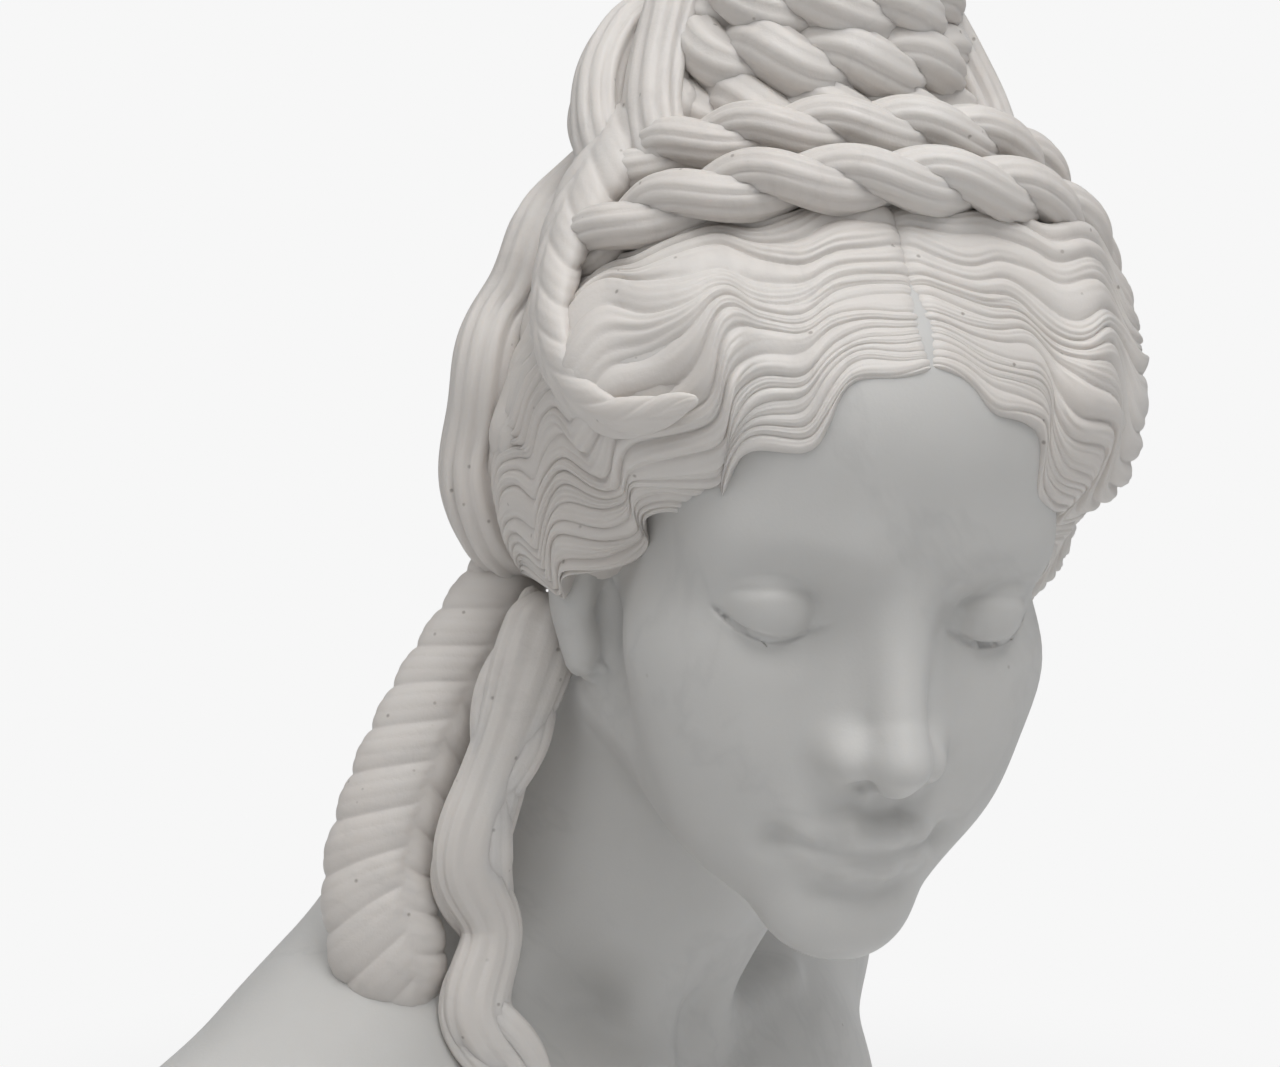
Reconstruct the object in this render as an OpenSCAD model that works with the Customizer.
// Marble bust of a young woman, head bowed and turned, on a turned socle and a square plinth.
// The bust is one carved block. It stands on a steel dowel that runs up through the stand.
// +Z is up, the bust faces -Y, and the origin is the middle of the resting face.

/* [Figure] */
// Size of the figure against life
life = 0.9; // [0.6:0.05:1.1]
// Turn of the head to its own right, in degrees
head_turn = 40; // [0:1:45]
// Bow of the head, in degrees
head_bow = 5.5; // [0:0.5:15]
// Lean of the head to its own left, in degrees
head_lean = 6; // [0:0.5:10]

/* [Stand] */
// Side of the square plinth
plinth_w = 176; // [160:1:220]
// Thickness of the plinth
plinth_h = 28; // [25:1:40]
// Height of the turned socle
socle_h = 112; // [100:1:140]
// Diameter of the socle's foot
socle_foot_d = 156; // [140:1:156]
// Diameter of the socle's waist
socle_waist_d = 84; // [76:1:100]
// Diameter of the socle's top
socle_top_d = 136; // [124:1:140]
// Thickness of the baize under the plinth
felt_h = 2; // [1:0.5:3]

/* [Fixing] */
// Diameter of the steel dowel
dowel_d = 16; // [12:1:18]
// Length of dowel that stands inside the bust
dowel_reach = 70; // [50:1:80]
// Thickness of the washer that the bust turns on
slip_h = 2; // [1:0.5:3]
// Play between dowel and sleeve, all round
running_gap = 0.05; // [0.02:0.01:0.1]

/* [Hidden] */

$fn = 96;
ball_facets = 10;
overcut = 1;
marble = [0.87, 0.86, 0.84];
steel = [0.60, 0.61, 0.62];
lead = [0.45, 0.46, 0.48];
baize = [0.16, 0.24, 0.19];

// Heights of the stack, from the resting face up
plinth_z = felt_h;
socle_z = plinth_z + plinth_h;
slip_z = socle_z + socle_h;
bust_z = slip_z + slip_h;

// The dowel and what clamps it
through_play = 1;
through_d = dowel_d + through_play;
nut_w = 24;
nut_h = 8;
washer_d = 36;
washer_h = 2.5;
recess_d = 42;
plinth_recess_h = 20.5;
top_recess_h = 12;
chamfer = 1;
dowel_lift = 1;
dowel_z = plinth_z + dowel_lift;
clamp_z = plinth_z + plinth_recess_h;
top_clamp_z = slip_z - top_recess_h;

// The sleeve in the bust
sleeve_d = 22;
sleeve_bore_d = dowel_d + 2 * running_gap;
sleeve_h = dowel_reach + 2;
setting_d = 34;
setting_cap = 4;
setting_h = sleeve_h + setting_cap;
bust_hole_d = 34.2;
bust_hole_facets = 48;

// Places on the figure, in millimetres at life size
head_place = [6, -78, 405];
neck_root = [0, 24, 232];
foot_r = 64;
foot_h = 26;
foot_step = 6;

module ball(place, r) {
    translate(place) sphere(r = r, $fn = ball_facets);
}

// A rounded length between two balls
module limb(from, to, r1, r2) {
    hull() {
        ball(from, r1);
        ball(to, r2);
    }
}

// An egg with its own radius along each axis
module egg(place, radii, facets = 18) {
    translate(place) scale(radii) sphere(r = 1, $fn = facets);
}

// Limbs through a row of places, swelling in the middle by the given amount
module strand(places, r, swell = 0) {
    last = len(places) - 1;
    for (i = [0 : last - 1])
        limb(places[i], places[i + 1], r + swell * sin(180 * i / last), r + swell * sin(180 * (i + 1) / last));
}

// A plait seen from outside: a row of leaning lobes
module plait(places, r) {
    for (i = [0 : len(places) - 2])
        limb(places[i], places[i + 1], r, r * 0.82);
}

module both_sides() {
    children();
    mirror([1, 0, 0]) children();
}

module head_frame() {
    translate(head_place) rotate([head_bow, head_lean, -head_turn]) children();
}

module face() {
    egg([0, 8, 30], [74, 92, 78]);
    egg([0, -38, -36], [57, 55, 70]);
    egg([0, -42, 40], [62, 51, 48]);
    both_sides() {
        limb([50, -4, -60], [14, -76, -92], 16, 15);
        // cheek
        limb([40, -54, -22], [28, -64, -54], 22, 16);
        // brow
        limb([12, -80, 17], [44, -62, 16], 7, 8);
        // closed lid
        egg([31, -68, 0], [15, 11, 9], 14);
        // wing of the nose
        ball([10, -95, -40], 8);
        // ear
        limb([70, -4, -4], [67, -8, -38], 9, 6);
    }
    // nose
    limb([0, -84, 4], [0, -107, -36], 7, 8);
    // lips
    limb([-20, -81, -66], [0, -90, -62], 3, 5);
    limb([0, -90, -62], [20, -81, -66], 5, 3);
    egg([0, -87, -73], [15, 6, 5], 14);
    // chin
    egg([0, -80, -94], [20, 17, 16], 16);
}

module hair_cap() {
    egg([3, 18, 44], [86, 95, 84]);
    egg([0, 70, 24], [70, 50, 66]);
    both_sides() {
        egg([70, 12, 20], [24, 58, 44], 20);
        // waves swept back from the part
        strand([[6, -78, 78], [34, -78, 58], [56, -62, 30], [72, -38, 4], [82, -14, -12], [84, 16, -14]], 9, 3);
        strand([[10, -64, 92], [40, -68, 76], [66, -50, 50], [82, -22, 24], [88, 8, 8]], 11, 4);
        limb([40, -46, 84], [76, -14, 56], 16, 17);
        strand([[70, -34, -12], [80, -16, -22], [84, 8, -26], [76, 34, -30]], 9, 1);
    }
}

module crown_braids() {
    band = [for (i = [-4 : 4]) let (a = i * 17) [72 * sin(a), -32 + 22 * (1 - cos(a)), 66 + 46 * cos(a)]];
    second = [for (i = [-4 : 4]) let (a = i * 17) [66 * sin(a), -8 + 26 * (1 - cos(a)), 74 + 50 * cos(a)]];
    plait(band, 13);
    plait(second, 12);
    both_sides() {
        // plait from behind the topknot down the side
        plait([[54, 48, 112], [66, 34, 98], [76, 20, 82], [84, 6, 64], [88, -10, 46]], 17);
        plait([[56, 64, 84], [72, 54, 62], [80, 42, 38], [82, 30, 14]], 18);
    }
}

module topknot() {
    coil_r = 34;
    coil_lobes = 9;
    coil = [for (i = [0 : coil_lobes]) let (a = i * 360 / coil_lobes)
        [coil_r * cos(a), 34 + coil_r * sin(a), 134]];
    plait(coil, 21);
    egg([0, 24, 110], [54, 52, 30]);
    egg([0, 34, 152], [40, 38, 38], 20);
    strand([[-50, -2, 104], [-48, 22, 124], [-40, 42, 146], [-20, 54, 166], [4, 46, 184]], 15, 3);
    strand([[46, 0, 108], [44, 24, 128], [34, 44, 150], [10, 40, 178]], 15, 3);
}

// Long hair on the shoulders, in the bust's own frame
module long_hair() {
    // plait with a rounded end, lying on the right shoulder
    plait([[-34, 2, 384], [-50, 10, 362], [-64, 14, 342], [-76, 16, 322], [-86, 16, 302], [-90, 12, 284], [-88, 6, 268]], 23);
    // loose waved lock beside it
    strand([[-46, -22, 374], [-58, -18, 350], [-64, -12, 328], [-76, -12, 306], [-68, -16, 284],
        [-82, -18, 262], [-76, -30, 238], [-86, -42, 212], [-80, -50, 188]], 11, 3);
    // lock behind the left shoulder
    strand([[62, 28, 372], [68, 48, 340], [76, 58, 306], [82, 64, 272], [80, 72, 236], [84, 74, 200]], 17, 4);
    egg([34, 6, 352], [52, 44, 48]);
}

module torso() {
    hull() {
        ball(neck_root, 60);
        head_frame() ball([0, 14, -52], 52);
    }
    both_sides() {
        // shoulder
        limb([52, 30, 244], [154, 20, 201], 41, 50);
        // stub of the arm, chest and back
        hull() {
            ball([156, 16, 180], 48);
            ball([84, -18, 176], 54);
            ball([56, -30, 122], 52);
            ball([60, 34, 176], 50);
        }
        // collar bone
        limb([14, -28, 224], [116, -12, 232], 9, 9);
    }
    hull() {
        ball([0, -6, 178], 74);
        ball([0, -20, 116], 66);
        ball([0, 12, 84], 56);
    }
    // block that carries the bust
    hull() {
        translate([0, 0, foot_h]) cylinder(r = foot_r - foot_step, h = 1, $fn = 32);
        ball([0, 2, 100], 62);
    }
    cylinder(r = foot_r, h = foot_h, $fn = 48);
}

module felt_pad() {
    inset = 6;
    felt_w = plinth_w - inset;
    color(baize) translate([0, 0, felt_h / 2]) cube([felt_w, felt_w, felt_h], center = true);
}

module plinth() {
    color(marble) difference() {
        translate([-plinth_w / 2, -plinth_w / 2, plinth_z]) cube([plinth_w, plinth_w, plinth_h]);
        translate([0, 0, plinth_z - overcut]) {
            cylinder(d = through_d, h = plinth_h + 2 * overcut);
            cylinder(d = recess_d, h = plinth_recess_h + overcut);
        }
    }
}

// The outer half of a rounded rim, from its lower edge to its upper edge
function rim(r, z, h) = [for (i = [0 : 8]) let (a = -90 + i * 22.5) [r + h / 2 * (cos(a) - 1), z + h / 2 * (sin(a) + 1)]];

// The hollow between foot and cap, as a curve through three radii
function scotia(r0, r1, r2, z, h, steps) = [for (i = [1 : steps]) let (t = i / steps, s = 1 - t)
    [s * s * r0 + 2 * s * t * r1 + t * t * r2, z + h * t]];

module socle() {
    base_r = socle_foot_d / 2;
    waist_r = socle_waist_d / 2;
    top_r = socle_top_d / 2;
    rim_h = 18;
    cap_h = 14;
    fillet_h = 5;
    fillet_in = 14;
    cap_in = 10;
    hollow_in = 16;
    hollow_top_in = 14;
    hollow_z = rim_h + fillet_h;
    hollow_h = socle_h - hollow_z - cap_h - fillet_h;
    hollow_steps = 16;
    profile = concat(
        [[0, 0]],
        rim(base_r, 0, rim_h),
        [[base_r - fillet_in, rim_h], [base_r - fillet_in, hollow_z]],
        scotia(base_r - hollow_in, waist_r - hollow_in, top_r - hollow_top_in, hollow_z, hollow_h, hollow_steps),
        [[top_r - cap_in, hollow_z + hollow_h], [top_r - cap_in, socle_h - cap_h]],
        rim(top_r, socle_h - cap_h, cap_h),
        [[0, socle_h]]
    );
    color(marble) translate([0, 0, socle_z]) difference() {
        rotate_extrude() polygon(profile);
        translate([0, 0, -overcut]) cylinder(d = through_d, h = socle_h + 2 * overcut);
        translate([0, 0, socle_h - top_recess_h]) cylinder(d = recess_d, h = top_recess_h + overcut);
    }
}

module dowel() {
    dowel_h = bust_z + dowel_reach - dowel_z;
    color(steel) translate([0, 0, dowel_z]) rotate_extrude() polygon([
        [0, 0], [dowel_d / 2 - chamfer, 0], [dowel_d / 2, chamfer],
        [dowel_d / 2, dowel_h - chamfer], [dowel_d / 2 - chamfer, dowel_h], [0, dowel_h]
    ]);
}

module washer(z) {
    color(steel) translate([0, 0, z]) difference() {
        cylinder(d = washer_d, h = washer_h);
        translate([0, 0, -overcut]) cylinder(d = dowel_d, h = washer_h + 2 * overcut);
    }
}

module nut(z) {
    color(steel) translate([0, 0, z]) difference() {
        cylinder(d = nut_w / cos(30), h = nut_h, $fn = 6);
        translate([0, 0, -overcut]) cylinder(d = dowel_d, h = nut_h + 2 * overcut);
    }
}

module clamp_washer() {
    washer(clamp_z - washer_h);
}

module clamp_nut() {
    nut(clamp_z - washer_h - nut_h);
}

module lock_nut() {
    nut(clamp_z - washer_h - 2 * nut_h);
}

module top_washer() {
    washer(top_clamp_z);
}

module top_nut() {
    nut(top_clamp_z + washer_h);
}

module slip_washer() {
    rim_inset = 6;
    bore_d = recess_d + 4;
    color(lead) translate([0, 0, slip_z]) difference() {
        cylinder(r = foot_r * life - rim_inset, h = slip_h);
        translate([0, 0, -overcut]) cylinder(d = bore_d, h = slip_h + 2 * overcut);
    }
}

module sleeve() {
    color(steel) translate([0, 0, bust_z]) difference() {
        cylinder(d = sleeve_d, h = sleeve_h);
        translate([0, 0, -overcut]) cylinder(d = sleeve_bore_d, h = sleeve_h + 2 * overcut);
    }
}

module sleeve_setting() {
    color(lead) translate([0, 0, bust_z]) difference() {
        cylinder(d = setting_d, h = setting_h);
        translate([0, 0, -overcut]) cylinder(d = sleeve_d, h = sleeve_h + overcut);
    }
}

module bust() {
    color(marble) difference() {
        translate([0, 0, bust_z]) scale(life) union() {
            torso();
            head_frame() {
                face();
                hair_cap();
                crown_braids();
                topknot();
            }
            long_hair();
        }
        translate([0, 0, bust_z - overcut]) cylinder(d = bust_hole_d, h = setting_h + overcut, $fn = bust_hole_facets);
    }
}

felt_pad();
plinth();
socle();
dowel();
clamp_washer();
clamp_nut();
lock_nut();
top_washer();
top_nut();
slip_washer();
sleeve();
sleeve_setting();
bust();
